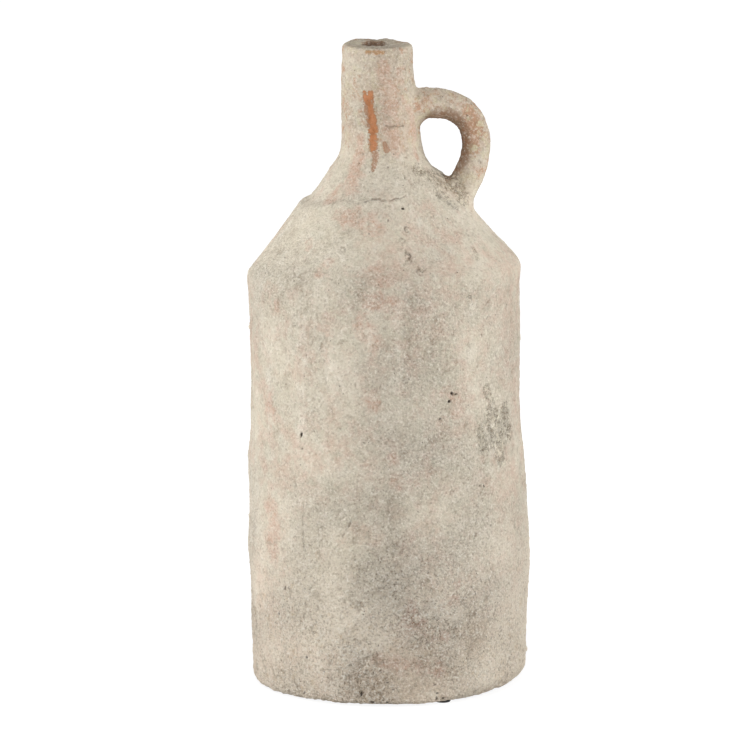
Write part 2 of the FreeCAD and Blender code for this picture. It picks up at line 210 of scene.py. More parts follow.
# Browner and thinner: the streak's ragged head and broken tail, the spot beside it, and a chipped grain.
BROWN_STROKES = [
    [(-112, 366, 1.4), (-108, 358, 1.6), (-106, 352, 1.4)],
    [(-100, 339, 2.4), (-98, 333, 2.2), (-99, 328, 1.9), (-100, 325, 1.3)],
    [(-85, 341, 1.3), (-82, 337, 2.1)],
    [(-80.2, 58.6, 0.7), (-81, 56.5, 1), (-80.4, 54, 1), (-79, 53.4, 0.7)],
    [(-81, 64, 1.2)],
]
SMEAR_STROKES = [[(-107, 397, 1.5), (-94, 397, 2), (-81, 397, 1.4)]]
BLUSH_STROKES = [
    [(-53, 385, 3), (-50, 379, 3)],
    [(-82, 388, 5), (-72, 372, 7), (-72, 352, 7), (-66, 336, 6)],
    [(-43, 387, 2), (-35, 385, 2)],
    [(-51, 369, 1.9), (-43, 362, 2.3), (-35, 356, 3), (-32, 350, 3.2), (-31, 344, 3.2), (-35, 338, 2.6),
     (-33, 330, 2)],
    [(-119, 345, 3), (-121, 334, 4.5), (-123, 324, 7), (-121, 314, 8)],
    [(-132, 314, 5), (-136, 306, 5)],
    [(-121, 300, 5), (-112, 299, 8), (-100, 297, 7), (-94, 292, 6)],
    [(-135, 284, 3.5), (-133, 281, 3.5)],
    [(-119, 274, 4.5), (-122, 268, 4)],
    [(-97, 270, 6), (-93, 265, 7)],
    [(-96, 255, 8), (-88, 252, 8)],
    [(-141, 244, 6)],
    [(-100, 240, 7), (-95, 226, 7)],
    [(-97, 196, 6), (-95, 188, 6)],
    [(-147, 116, 8), (-144, 104, 10), (-146, 92, 8)],
    [(-150, 188, 7), (-148, 176, 7)],
    [(-64, 195, 6), (-60, 191, 6), (-58, 181, 4)],
    [(-86, 141, 6), (-78, 140, 4)],
    [(-87, 155, 5)],
    [(-62, 77, 4)],
    [(-63, 66, 4.5)],
    [(-81, 64, 4), (-81, 54, 7), (-75, 47, 6), (-67, 44, 4)],
    [(-95, 30, 6), (-70, 24, 6)],
]
CRUST_STROKES = [
    [(-42, 194, 3), (-39, 179, 6), (-36, 163, 8), (-34, 149, 5)],
    [(-47, 169, 4), (-45, 158, 4)],
    [(-29, 178, 5), (-27, 163, 5)],
    [(-44, 325, 4), (-28, 319, 7), (-10, 313, 8), (1, 307, 8), (-14, 303, 5)],
    [(-36, 311, 5), (-28, 303, 4)],
    [(-39, 279, 1.6), (-41, 274, 1.6)],
    [(-52, 252, 2)],
    [(-79, 281, 1.6), (-79, 276, 1.8)],
    [(-74, 271, 2)],
]
# Patches where the clay is coloured a little darker.
DARKER_PATCH_STROKES = [
    [(-100, 14, 14), (-76, 20, 22)],
    [(-52, 42, 12)],
    [(-78, 392, 9), (-70, 345, 10)],
    [(-22, 315, 8), (-6, 309, 8)],
]
# Strokes gouged down the slope beside the lower end of the handle.
GOUGE_STROKES = [
    [(-58, 322, 7), (-34, 314, 8), (-16, 306, 8)],
    [(24, 306, 8), (40, 314, 7)],
]
CRACKS = [
    [(-134, 305.5, 0.8), (-128, 306.5, 0.8), (-122, 308, 0.9), (-116, 308, 0.9), (-109, 307, 1),
     (-102, 308, 0.9), (-97, 309.5, 1), (-88, 309, 0.9), (-79, 309.5, 0.9), (-72, 310.5, 0.8)],
    [(-98, 321, 0.7), (-93, 320.5, 0.8)],
    [(-74, 321, 0.7), (-66, 320.5, 0.8)],
    [(-84, 352.5, 0.7), (-77, 351.5, 0.8), (-68, 352, 0.8), (-60, 350.5, 0.7), (-52, 351, 0.6)],
    [(-105, 119, 0.6), (-107, 114, 0.7), (-109, 107, 0.6)],
    [(-110, 123, 0.5), (-112, 118, 0.6)],
    [(-127, 126, 0.5), (-128, 110, 0.6), (-127, 95, 0.5)],
]
# Strokes where the wiping hand left a low ridge.
RIDGES = [
    [(-85, 248, 1.6), (-85, 217, 2), (-84, 173, 1.6)],
    [(-127, 237, 4), (-128, 202, 5), (-127, 168, 3)],
    [(-112, 227, 4), (-112, 193, 4)],
    [(-56, 217, 5), (-55, 183, 5)],
    [(-113, 45, 2.2), (-103, 56, 2.6), (-96, 64, 1.8)],
    [(-113, 59, 2), (-106, 79, 2.6), (-103, 90, 1.8)],
]
# Degrees, height, radius and depth.
PITS = [
    (-128, 166.6, 1.2, 1.3), (-128, 158.5, 0.8, 0.6), (-60.9, 194.2, 1.1, 1.6), (-59, 194.6, 0.8, 1),
    (-62.3, 189.3, 1.1, 1.5), (-66.6, 180, 1, 1.2), (-49, 135.5, 0.8, 0.6), (-46.7, 135, 0.9, 0.8),
    (-72.3, 128, 0.8, 0.4), (-75, 304.3, 1.1, 0.9), (-86.6, 298, 0.8, 0.5), (-127, 72, 0.8, 0.5),
    (-142.3, 53, 1.1, 0.6), (-138, 69, 1, 0.6), (-136, 69.5, 0.8, 0.5), (-126.3, 28, 1, 0.6),
    (-92, 70.4, 0.8, 0.4), (-96.6, 22.5, 0.8, 0.5), (-91, 16, 0.9, 0.7), (-88.5, 13, 0.8, 0.6),
    (-91, 3, 0.9, 0.8), (-98, 5, 0.8, 0.6), (-70, 4.5, 0.8, 0.6), (-67, 4.5, 0.9, 0.7), (-65, 5, 0.7, 0.6),
    (-128, 6, 0.8, 0.6), (-125, 5.5, 0.7, 0.5), (-102, 8.5, 1, 0.8), (-97, 4.5, 1, 0.9), (-70, 8, 1, 0.8),
    (-71, 14, 0.8, 0.7), (-110, 12, 0.8, 0.6),
]
# Grains of sand with a ring of shrunken clay round each.
RINGED_GRAINS = [
    (-75.3, 292.8), (-80.3, 287.2), (-79.2, 278.8), (-79.5, 275.5), (-74.1, 272.4), (-75.5, 269.7),
    (-113.1, 281.1),
]
# Degrees, height, radius and how far each stands out.
NUBS = [
    (-79.3, 56, 2.3, 1.6), (-52, 52, 1.6, 0.6), (180, 222.5, 1.6, 1.1), (-2, 18.5, 2.4, 1.3),
    (174, 216, 1.2, 0.6),
]
STROKE_MASKS = {"bare": BARE_STROKES, "smear": SMEAR_STROKES, "blush": BLUSH_STROKES, "crust": CRUST_STROKES,
                "darker_patch": DARKER_PATCH_STROKES, "brown": BROWN_STROKES}

# How many widths from its middle a stroke's mask ends.
STROKE_REACH = 1.5


def near_stroke(p, stroke):
    """1 along the middle of a stroke, a half at its edge and 0 at half a width more."""
    result = np.zeros(len(p))
    places = [wall_points(turn, z) for turn, z, _ in stroke]
    widths = [width for _, _, width in stroke]
    reach = STROKE_REACH * max(widths)
    lows, highs = np.min(places, axis=0) - reach, np.max(places, axis=0) + reach
    close = np.flatnonzero(((p > lows) & (p < highs)).all(-1))
    if not len(close):
        return result
    q, best = p[close], np.zeros(len(close))
    for a, b, wide, wide_next in zip(places, places[1:] or places, widths, widths[1:] or widths):
        along = (((q - a) @ (b - a)) / max(((b - a) ** 2).sum(), TINY)).clip(0, 1)
        away = np.linalg.norm(q - a - along[:, None] * (b - a), axis=1)
        best = np.maximum(best, (STROKE_REACH - away / (wide + (wide_next - wide) * along)).clip(0, 1))
    result[close] = best
    return result


def strokes(p, group):
    return np.max([near_stroke(p, stroke) for stroke in group], axis=0)


def away_from(p, turn, z):
    return np.linalg.norm(p - wall_points(turn, z), axis=-1)


# Heights between which the clay's face changes.
ABOVE_FOOT = (4, 24)
LOWER_BODY = (20, 150)
SHOULDER_TURN = (255, 275)
BELOW_COLLAR = (290, 300)
NECK_ROOT = (320, 340)
NECK_START = (330, 350)
# Size and salt of noise whose zero lines stand up as winding crests.
CRESTS = [(6, 18), (11, 22)]
# How high the parts of the relief stand, or how deep they go.
WAVE, SWELL, WIPED_WAVE, WIPED_RIPPLE, LUMP, SPECK = 0.45, 0.22, 0.17, 0.1, 0.1, 0.09
RIDGE, RIDGE_TOP, CREST, GRIT, CRUMB = 0.3, 0.25, 0.5, 0.34, 0.5
HOLE, WORN_OFF, CRUST_LOSS, GOUGE, CRACK = 0.6, 0.2, 0.15, 0.18, 0.5
GRAIN, GRAIN_RING, RING_RADIUS, RING_WIDTH = 0.6, 0.5, 1.9, 0.6
# Noise of the hand's strokes, long up the wall: the radius it is laid round and its share of height.
WIPE = (84, 0.13)
COMB = (55, 0.28)


def roughness_of(p, turn, low):
    """How rough the clay is, most on the lower body and on the front and back."""
    z = p[:, 2]
    rough = (0.95 + 0.2 * noise(p, 38, 1)).clip(0.45, 1.8) * (1 + 0.7 * low)
    rough = rough * (1 - 0.35 * step(*SHOULDER_TURN, z) + 0.2 * step(*NECK_ROOT, z))
    return rough * (0.75 + 0.5 * np.sin(turn) ** 2)


def plain_relief(p, turn, rough, low):
    """The broad waves, the fine face of the clay without its marks, and the holes in it."""
    z = p[:, 2]
    wiped = np.stack([WIPE[0] * np.cos(turn), WIPE[0] * np.sin(turn), WIPE[1] * z], -1)
    below = 1 - step(*BELOW_COLLAR, z)
    above = step(*ABOVE_FOOT, z)
    high = WAVE * noise(p, 75, 2) * (1 - 0.6 * step(*NECK_START, z)) + SWELL * noise(p, 33, 3)
    high += WIPED_WAVE * noise(wiped, 17, 20) * below
    fine = 0 * z
    for stroke in RIDGES:
        ridge = step(0, 1.2, near_stroke(p, stroke))
        high += RIDGE * ridge
        fine += RIDGE_TOP * ridge
    fine += WIPED_RIPPLE * noise(wiped, 7, 21) * below
    fine += LUMP * noise(p, 12, 4) + LUMP * noise(p, 6, 5)
    fine += rough * (LUMP * noise(p, 3.3, 6) + SPECK * noise(p, 1.9, 7))
    for size, salt in CRESTS:
        lines = step(0.55, 1, 1 - 2.5 * np.abs(noise(p, size, salt)))
        fine += CREST * lines * step(-0.1, 0.7, noise(p, 15, salt + 1)) * rough * above
    grit_share = (0.16 + 0.12 * noise(p, 26, 8) + 0.22 * (rough - 1)).clip(0.02, 0.7)
    fine += GRIT * spots(p, 3.2, 9, grit_share) * rough * (0.35 + 0.65 * above)
    holes = spots(p, 4.2, 10, (0.07 + 0.06 * noise(p, 30, 11) + 0.03 * low).clip(0, 0.35), 0.16)
    return high, fine - HOLE * holes, holes


def relief(p):
    """How far the clay stands out at points of the bare outline, and masks for its colours and painted
    shade.
    """
    z = p[:, 2]
    turn = np.arctan2(p[:, 1], p[:, 0] - centre_x(z))
    low = 1 - step(*LOWER_BODY, z)
    rough = roughness_of(p, turn, low)
    high, fine, holes = plain_relief(p, turn, rough, low)
    masks = {name: strokes(p, group) for name, group in STROKE_MASKS.items()}
    ragged = masks["bare"] + 0.3 * noise(p, 2.6, 12)
    fine -= WORN_OFF * step(0.4, 0.6, ragged) * (masks["bare"] > 0)
    fine += step(0.2, 0.9, masks["crust"]) * (CRUMB * spots(p, 2.2, 13, 0.6, 0.25) - CRUST_LOSS)
    combed = np.stack([COMB[0] * turn, 0 * z, COMB[1] * z], -1)
    fine += step(0.1, 0.8, strokes(p, GOUGE_STROKES)) * GOUGE * noise(combed, 2, 16)
    # Painted shade and dirt: darker colour in the holes, cracks, pits and rings round grains, kept off the
    # nubs.
    recess_shade_and_dirt = step(0.3, 0.9, holes) * 0.5
    wander = p + np.array([0, 0, 0.8]) * noise(p, 4, 14)[:, None]
    broken = step(-0.9, 0.3, noise(p, 5, 15))
    for stroke in CRACKS:
        line = near_stroke(wander, stroke)
        fine -= CRACK * step(0.1, 1, line) * (0.5 + 0.5 * broken)
        recess_shade_and_dirt = np.maximum(recess_shade_and_dirt, step(0.1, 0.9, line) * (0.22 + 0.2 * broken))
    for turn_to, height, radius, depth in PITS:
        near = 1 - away_from(wander, turn_to, height) / (radius * 1.2)
        fine -= depth * step(0, 0.75, near)
        recess_shade_and_dirt = np.maximum(recess_shade_and_dirt, min(1, 1.15 * depth) * step(0, 0.4, near))
    patchy = step(-0.7, 0.9, noise(p, 2.2, 17))
    for turn_to, height in RINGED_GRAINS:
        away = away_from(wander, turn_to, height)
        ring = np.exp(-((away - RING_RADIUS) / RING_WIDTH) ** 2)
        fine += GRAIN * step(1.4, 0.4, away) - GRAIN_RING * ring
        recess_shade_and_dirt = np.maximum(recess_shade_and_dirt, 0.6 * patchy * ring)
    # Paler towards the foot as painted light, and paler on the nubs.
    pale = low
    for turn_to, height, radius, out in NUBS:
        away = away_from(p, turn_to, height) / radius
        fine += out * step(1.3, 0.3, away)
        recess_shade_and_dirt *= step(0.5, 1.1, away)
        pale = np.maximum(pale, 2 * step(1.1, 0.6, away))
    # The hollow mask is the fine relief, for colour: painted shade in its hollows, lighter worn clay on its
    # raised bits.
    return high + fine, {**masks, "recess_shade_and_dirt": recess_shade_and_dirt, "hollow": fine, "coarse": rough, "pale": pale}


# The relief of the underside is worn to a share of the rest, within limits.
WORN_SHARE = 0.3
WORN_LIMITS = (-0.5, 0.05)


def cross_normals(grid):
    """Outward normals of a grid of rows by columns, where columns run round and rows go up the outside."""
    across = np.roll(grid, -1, 1) - np.roll(grid, 1, 1)
    along = np.gradient(grid, axis=0)
    normals = np.cross(across, along)
    return normals / (np.linalg.norm(normals, axis=-1, keepdims=True) + TINY)


def raised(grid, under=0):
    """A grid in relief, its shading normals and its masks. The first rows may be the worn underside."""
    height, masks = relief(grid.reshape(-1, 3))
    shape = grid.shape[:2]
    height = height.reshape(shape)
    height[:under] = (height[:under] * WORN_SHARE).clip(*WORN_LIMITS)
    lifted = grid + cross_normals(grid) * height[..., None]
    return lifted, cross_normals(lifted), {name: mask.reshape(shape) for name, mask in masks.items()}


def put_masks(mesh, masks):
    """Keeps masks on a mesh as one number for each vertex."""
    for name, values in masks.items():
        values = values.astype(np.float32).ravel()
        mesh.attributes.new(name, "FLOAT", "POINT").data.foreach_set("value", values)


def placed(name, data):
    """A new object in the scene."""
    made = bpy.data.objects.new(name, data)
    bpy.context.scene.collection.objects.link(made)
    return made


def new_object(name, vertices, faces, masks, loop_normals=None):
    """A smooth piece from vertices in millimetres, and from normals of face corners if given."""
    mesh = bpy.data.meshes.new(name)
    mesh.from_pydata((vertices * MM).tolist(), [], faces)
    mesh.polygons.foreach_set("use_smooth", np.ones(len(mesh.polygons), dtype=bool))
    put_masks(mesh, masks)
    mesh.update()
    if loop_normals is not None:
        mesh.normals_split_custom_set(loop_normals.tolist())
    return placed(name, mesh)


def row_faces(first, second, columns):
    """Quads between two rings of vertices, given by the index of each one's first vertex."""
    here = np.arange(columns)
    after = (here + 1) % columns
    return np.stack([first + here, first + after, second + after, second + here], 1)


def sheet_faces(rows, columns, closed=False):
    """Quads between rings of vertices, and from the last ring back to the first where they are closed."""
    bands = rows if closed else rows - 1
    sheet = [row_faces(row * columns, (row + 1) % rows * columns, columns) for row in range(bands)]
    return np.concatenate(sheet)


def fan_faces(first, centre, columns, upward):
    """Triangles between a ring of vertices and the one in its middle, facing up or down."""
    here = np.arange(columns)
    after = (here + 1) % columns
    ends = [here, after] if upward else [after, here]
    return np.stack([first + ends[0], first + ends[1], np.full(columns, centre)], 1).tolist()


def degrees_round(columns):
    """The degrees of a grid's columns, from 0 at +X up to 180 and on from -180."""
    return (np.arange(columns) * 360 / columns + 180) % 360 - 180


def turned_piece(name, outside, hollow):
    """A closed ring of clay, from an outside grid and a plain hollow as radius and height. The grid's first
    and last rows aren't shown."""
    lifted, normals, masks = raised(outside)
    shown, shown_normals = lifted[1:-1], normals[1:-1]
    columns = outside.shape[1]
    a = np.radians(np.arange(columns) * 360 / columns)
    inside = [round_points(radius, a, z)[None] for radius, z in hollow]
    points = np.concatenate([shown] + inside).reshape(-1, 3)
    rows = len(points) // columns
    faces = sheet_faces(rows, columns, closed=True)
    extra = (rows - len(shown)) * columns
    values = {mask: np.concatenate([grid[1:-1].ravel(), np.zeros(extra)]) for mask, grid in masks.items()}
    loops = np.zeros((faces.size, 3))
    outer = (len(shown) - 1) * columns
    loops[:outer * 4] = shown_normals.reshape(-1, 3)[faces[:outer].ravel()]
    return new_object(name, points, faces.tolist(), values, loops)


def levels(low, high, pitch):
    """Heights from low to high with one more beyond each end."""
    count = max(2, round((high - low) / pitch))
    spacing = (high - low) / count
    return low + spacing * np.arange(-1, count + 2)


WALL_COLUMNS = 600
COLLAR_COLUMNS = 480
NECK_COLUMNS = 320
WALL_PITCH = 0.9
SHOULDER_PITCH = 0.75
NECK_PITCH = 0.55
HOLLOW_ROWS = 10
BORE = 9.2
# The plain hollows from the top down, as radius and height.
SHOULDER_HOLLOW = [(44.6, LEDGE_TOP), (44.6, LEDGE), (38.2, LEDGE), (57, 276), (76.2, SHOULDER_FOOT)]
COLLAR_HOLLOW = [(12.2, NECK_FOOT), (24, 317.5), (36.3, LEDGE), (44.3, LEDGE), (44.3, LEDGE_TOP)]
NECK_HOLLOW = [(BORE, LIP_FOOT), (10.2, 368), (11.2, 352), (12.2, NECK_FOOT)]


def clay_ring(name, low, high, pitch, columns, hollow):
    """A piece whose outside follows the outline from one height to another."""
    outside = wall_points(degrees_round(columns)[None, :], levels(low, high, pitch)[:, None])
    return turned_piece(name, outside, hollow)


def drum(name, low, high, inside_low, inside_high):
    """A drum of wall with its plain hollow, whose radius is given at its foot and top."""
    shares = np.linspace(0, 1, HOLLOW_ROWS)
    hollow = [(inside_high + (inside_low - inside_high) * s, high + (low - high) * s) for s in shares]
    return clay_ring(name, low, high, WALL_PITCH, WALL_COLUMNS, hollow)


# How far the lip's top stands above its own level, by degrees.
RIM_ROWS = [
    (-180, -0.4), (-150, -0.4), (-120, -0.3), (-90, -0.2), (-60, -0.1), (-30, -0.3), (0, -0.7), (26, -0.5),
    (48, -0.5), (60, 0.2), (72, 0.8), (84, 0.1), (92, -0.2), (104, 0.5), (120, 0.7), (140, 0.6), (160, 0.1),
    (180, -0.4),
]
# How far down the uneven top reaches, how far it sags between rim and mouth, and how far it all sits lower.
RIM_REACH = 9
RIM_SAG = 0.35
RIM_DROP = 0.25
LIP_ROUND = 2.4
MOUTH_ROUND = 1.3
BORE_END = 385.3


def make_lip():
    """The lip's outside, over its top and down its bore."""
    turns = degrees_round(NECK_COLUMNS)
    a = np.radians(turns)
    side = levels(LIP_FOOT, TOP - LIP_ROUND, NECK_PITCH)[:-1]
    rim = radius_at(turns, TOP - LIP_ROUND)
    lift = from_rows(turns, RIM_ROWS, 1)
    mouth = BORE + 0.5 * np.sin(a * 2 + 0.6) + 0.3 * np.sin(a * 3)
    path = [(radius_at(turns, z), z) for z in side]
    for t in np.linspace(0, math.pi / 2, 8)[1:]:
        path.append((rim - LIP_ROUND * (1 - math.cos(t)), TOP - LIP_ROUND * (1 - math.sin(t))))
    for t in np.linspace(0, 1, 18)[1:]:
        inward = (mouth + MOUTH_ROUND - rim + LIP_ROUND) * t
        path.append((rim - LIP_ROUND + inward, TOP - RIM_SAG * math.sin(math.pi * t)))
    for t in np.linspace(0, math.pi / 2, 5)[1:]:
        path.append((mouth + MOUTH_ROUND * (1 - math.sin(t)), TOP - MOUTH_ROUND * (1 - math.cos(t))))
    for z in np.append(np.linspace(TOP - MOUTH_ROUND, LIP_FOOT, 20)[1:], BORE_END):
        path.append((mouth + (BORE - mouth) * (TOP - z) / (TOP - LIP_FOOT), z))
    grid = np.array([round_points(radius, a, z) for radius, z in path])
    for row, (_, z) in zip(grid, path):
        row[:, 2] += lift * step(TOP - RIM_REACH, TOP, z)
        row[:, 2] -= RIM_DROP
    return turned_piece("lip_skin", grid, [])


# Shares of the foot's radius at which the underside has its rings, and the slab's plain top inside the wall.
UNDER_SHARES = (0.04, 0.1, 0.2, 0.35, 0.5, 0.65, 0.8, 0.9, 0.96, 1.0)
SLAB_RADIUS = 76
SLAB_MIDDLE = 0.3
SLAB_RISE = 10
ROW_ABOVE_SLAB = 12.7


def make_base():
    """The base slab, with a plain top inside and its worn underside."""
    columns = WALL_COLUMNS
    turns = degrees_round(columns)
    a = np.radians(turns)
    foot = radius_at(turns, FOOT)
    rise = np.append((np.linspace(0, 1, 16) ** 2)[1:] * SLAB_RISE + FOOT, ROW_ABOVE_SLAB)
    under = [round_points(foot * share, a, FOOT) for share in UNDER_SHARES]
    grid = np.array(under + [wall_points(turns, z) for z in rise])
    lifted, normals, masks = raised(grid, len(under))
    shown = lifted[:-1]
    last = (len(shown) - 1) * columns
    top = last + columns
    middles = [[SLAB_MIDDLE, 0, SLAB_TOP], [SLAB_MIDDLE, 0, FOOT]]
    points = np.concatenate([shown.reshape(-1, 3), round_points(SLAB_RADIUS, a, SLAB_TOP), middles])
    outer = sheet_faces(len(shown), columns)
    faces = outer.tolist() + row_faces(last, top, columns).tolist()
    faces += fan_faces(top, top + columns, columns, True)
    faces += fan_faces(0, top + columns + 1, columns, False)
    loops = np.zeros((sum(len(face) for face in faces), 3))
    loops[:outer.size] = normals[:-1].reshape(-1, 3)[outer.ravel()]
    values = {name: np.append(mask[:-1], np.zeros(columns + 2)) for name, mask in masks.items()}
    return new_object("base_skin", points, faces, values, loops)


# The handle's coil: X, Z and radius along it, from inside the neck to inside the shoulder.
COIL_ROWS = [
    (0, 362.4, 9.3), (14, 362.5, 9.3), (24, 362.6, 9.2), (32.5, 362.2, 9.1), (41, 359.7, 9.0),
    (48.3, 354, 8.8), (52.2, 346, 8.5), (53.6, 337, 8.6), (52.5, 327, 8.7), (48.9, 317.5, 8.9),
    (44.3, 308.5, 9.2), (39.8, 299.5, 9.7), (36, 292, 10),
]
COIL_STEP = 0.08
COIL_SQUASH = 0.97
POINTS_AT_ONCE = 4000


def coil_samples():
    """Points and radii along a smooth curve through the coil's rows."""
    knots = np.array([COIL_ROWS[0]] + COIL_ROWS + [COIL_ROWS[-1]], dtype=float)
    samples = []
    for a, b, c, d in zip(knots, knots[1:], knots[2:], knots[3:]):
        for t in np.arange(0, 1, COIL_STEP):
            samples.append(0.5 * (2 * b + (c - a) * t + (2 * a - 5 * b + 4 * c - d) * t * t
                                  + (3 * b - a - 3 * c + d) * t ** 3))
    return np.array(samples)


coil_path = coil_samples()


def coil_field(p):
    """Distance from the coil's surface, less than zero inside it."""
    flat = p[..., [0, 2]].reshape(-1, 2).astype(np.float32)
    unique, back = np.unique(flat.round(3), axis=0, return_inverse=True)
    nearest, radius = np.empty(len(unique)), np.empty(len(unique))
    for start in range(0, len(unique), POINTS_AT_ONCE):
        part = slice(start, start + POINTS_AT_ONCE)
        away = np.linalg.norm(unique[part][:, None] - coil_path[None, :, :2], axis=2)
        nearest[part] = away.min(1)
        radius[part] = coil_path[away.argmin(1), 2]
    nearest, radius = (values[back.ravel()].reshape(p.shape[:-1]) for values in (nearest, radius))
    return np.hypot(nearest, p[..., 1] * COIL_SQUASH) - radius


def wall_field(p):
    """Rough distance from the jug's outline, less than zero inside it."""
    z = p[..., 2]
    out = np.hypot(p[..., 0] - centre_x(z), p[..., 1])
    turn = turn_of(p)
    slope = (radius_at(turn, z + 1) - radius_at(turn, z - 1)) / 2
    return (out - radius_at(turn, z)) / np.sqrt(1 + slope ** 2)


def merged(a, b, blend):
    """Two fields joined, with the corner between them filled."""
    near = (blend - np.abs(a - b)).clip(0, None) / blend
    return np.minimum(a, b) - near * near * blend / 4


# How far under both surfaces the smeared clay starts, how deep the handle's pieces reach in, and how wide
# the corners are filled: on the shoulder, on the neck, and how much less over the coil.
FEATHER = 0.15
EMBED = 3.0
LOWER_FILL = 7.5
UPPER_FILL = 9.5
OVER_COIL_LESS = 6.5
OVER_COIL = (361, 369)
FILL_SHARE = 0.98


def coil_solid(p):
    return np.maximum(coil_field(p), -(wall_field(p) + EMBED))


def wad_solid(p):
    """The clay smeared into the corner between the coil and the wall."""
    coil, wall = coil_field(p), wall_field(p)
    z = p[..., 2]
    blend = np.where(z > NECK_FOOT, UPPER_FILL - OVER_COIL_LESS * step(*OVER_COIL, z), LOWER_FILL)
    skin = merged(wall + FEATHER, coil + FEATHER, blend)
    reach = np.maximum(coil, wall) - blend * FILL_SHARE
    return np.maximum.reduce([skin, reach, -(wall + EMBED), -(coil + EMBED)])


NET_PITCH = 0.5
SLOPE_REACH = 0.25
SNAPS = 2


def surface_net(field, low, high):
    """Vertices and quads of the surface where the field is zero, inside a box."""
    axes = [np.arange(a, b, NET_PITCH) for a, b in zip(low, high)]
    values = field(np.stack(np.meshgrid(*axes, indexing="ij"), -1))
    cells = tuple(n - 1 for n in values.shape)
    place, hits = np.zeros(cells + (3,)), np.zeros(cells)
    crossings = []
    for axis in range(3):
        others = [n for n in range(3) if n != axis]
        a, b = values.take(range(cells[axis]), axis), values.take(range(1, cells[axis] + 1), axis)
        crossed = (a < 0) != (b < 0)
        share = np.where(crossed, a / np.where(crossed, a - b, 1), 0)
        for offsets in itertools.product((0, 1), repeat=2):
            part = [slice(None)] * 3
            for other, offset in zip(others, offsets):
                part[other] = slice(offset, offset + cells[other])
            here = crossed[tuple(part)]
            hits += here
            place[..., axis] += here * share[tuple(part)]
            for other, offset in zip(others, offsets):
                place[..., other] += here * offset
        crossings.append((axis, others, crossed, a < 0))
    active = hits > 0
    index = np.full(cells, -1)
    index[active] = np.arange(active.sum())
    corner = np.argwhere(active)
    vertices = (corner + place[active] / hits[active][:, None]) * NET_PITCH + np.array(low)
    quads = []
    for axis, others, crossed, starts_inside in crossings:
        where = np.argwhere(crossed)
        beside = where[:, others]
        where = where[((beside > 0) & (beside < np.array(cells)[others])).all(1)]
        ring = []
        for back in ((1, 1), (0, 1), (0, 0), (1, 0)):
            cell = where.copy()
            cell[:, others] -= back
            ring.append(index[tuple(cell.T)])
        ring = np.stack(ring, 1)
        flip = starts_inside[tuple(where.T)] ^ (axis == 1)
        quads.append(np.where(flip[:, None], ring, ring[:, ::-1]))
    return vertices, np.concatenate(quads)


def slope_of(field, p):
    """Directions in which a field rises."""
    slopes = [field(p + axis * SLOPE_REACH) - field(p - axis * SLOPE_REACH) for axis in np.eye(3)]
    slopes = np.stack(slopes, -1)
    return slopes / (np.linalg.norm(slopes, axis=-1, keepdims=True) + TINY)


def grown_piece(name, field, low, high):
    """A closed piece from a field, with the clay's relief."""
    vertices, quads = surface_net(field, low, high)
    for _ in range(SNAPS):
        off = field(vertices)[:, None] * slope_of(field, vertices)
        vertices = vertices - off.clip(-NET_PITCH / 2, NET_PITCH / 2)
    height, masks = relief(vertices)
    vertices = vertices + slope_of(field, vertices) * height[:, None]
    return new_object(name, vertices, quads.tolist(), masks)


PAD_COLUMNS = 72
PAD_RADIUS = 4.7
PAD_RISE = 1.95
PAD_SALT = 30
FIBRES = 160
FIBRE_WIDTH = 0.035
FIBRE_HEIGHT = 0.06
# Shares of the pad's radius and height, from its underside up.
PAD_PROFILE = [
    (0.35, 0), (0.7, 0), (0.93, 0.02), (0.99, 0.12), (1, 0.3), (1, 0.5), (1, 0.7), (0.99, 0.9), (0.94, 1),
    (0.7, 1), (0.35, 1),
]


def make_pad(number, centre):
    """A stamped dot of felt: a soft-edged disc with a nap of short fibres round its side."""
    turns = np.arange(PAD_COLUMNS) * 2 * math.pi / PAD_COLUMNS
    rings = []
    for share, rise in PAD_PROFILE:
        wave = 1 + 0.012 * np.sin(turns * 9 + number) + 0.01 * np.sin(turns * 23 + rise * 7)
        radius = PAD_RADIUS * share * wave
        rings.append(np.stack([centre[0] + radius * np.cos(turns), centre[1] + radius * np.sin(turns),
                               np.full(PAD_COLUMNS, rise * PAD_RISE)], -1))
    side = np.concatenate(rings)
    out = side - np.array([*centre, 0])
    out[:, 2] = 0
    side += out / PAD_RADIUS * (0.06 * noise(side, 0.7, PAD_SALT + number))[:, None]
    points = np.concatenate([side, [[*centre, 0.0], [*centre, PAD_RISE]]])
    middle = len(side)
    faces = sheet_faces(len(PAD_PROFILE), PAD_COLUMNS).tolist()
    faces += fan_faces(0, middle, PAD_COLUMNS, False)
    faces += fan_faces(middle - PAD_COLUMNS, middle + 1, PAD_COLUMNS, True)
    fibres = []
    for _ in range(FIBRES):
        turn, rise = rng.uniform(0, 2 * math.pi), rng.uniform(0.1, 0.9) * PAD_RISE
        lean, length = rng.uniform(-1.2, 1.2), rng.uniform(0.25, 0.6)
        reach = PAD_RADIUS * 0.97
        root = np.array([centre[0] + reach * math.cos(turn), centre[1] + reach * math.sin(turn), rise])
        way = np.array([math.cos(turn + lean), math.sin(turn + lean), rng.uniform(-0.3, 0.3)])
        tip = root + way * length
        tip[2] = min(max(tip[2], 0.05), PAD_RISE)
        beside = np.array([-way[1], way[0], 0]) * FIBRE_WIDTH
        start = len(points) + len(fibres)
        fibres += [root + beside, root - beside, root + np.array([0, 0, FIBRE_HEIGHT]), tip]
        for corners in ((0, 1, 3), (1, 2, 3), (2, 0, 3), (0, 2, 1)):
            faces.append([start + corner for corner in corners])
    return new_object(f"felt_pad_{number}_fibre", np.concatenate([points, fibres]), faces, {})


# Sockets of the Mix node that belong to colours.
MIX_A = 6
MIX_B = 7
MIX_RESULT = 2


def feed(tree, node, inputs):
    """Sets a node's inputs to values, or links them to sockets."""
    for key, value in inputs.items():
        if isinstance(value, bpy.types.NodeSocket):
            tree.links.new(value, node.inputs[key])
        else:
            node.inputs[key].default_value = value


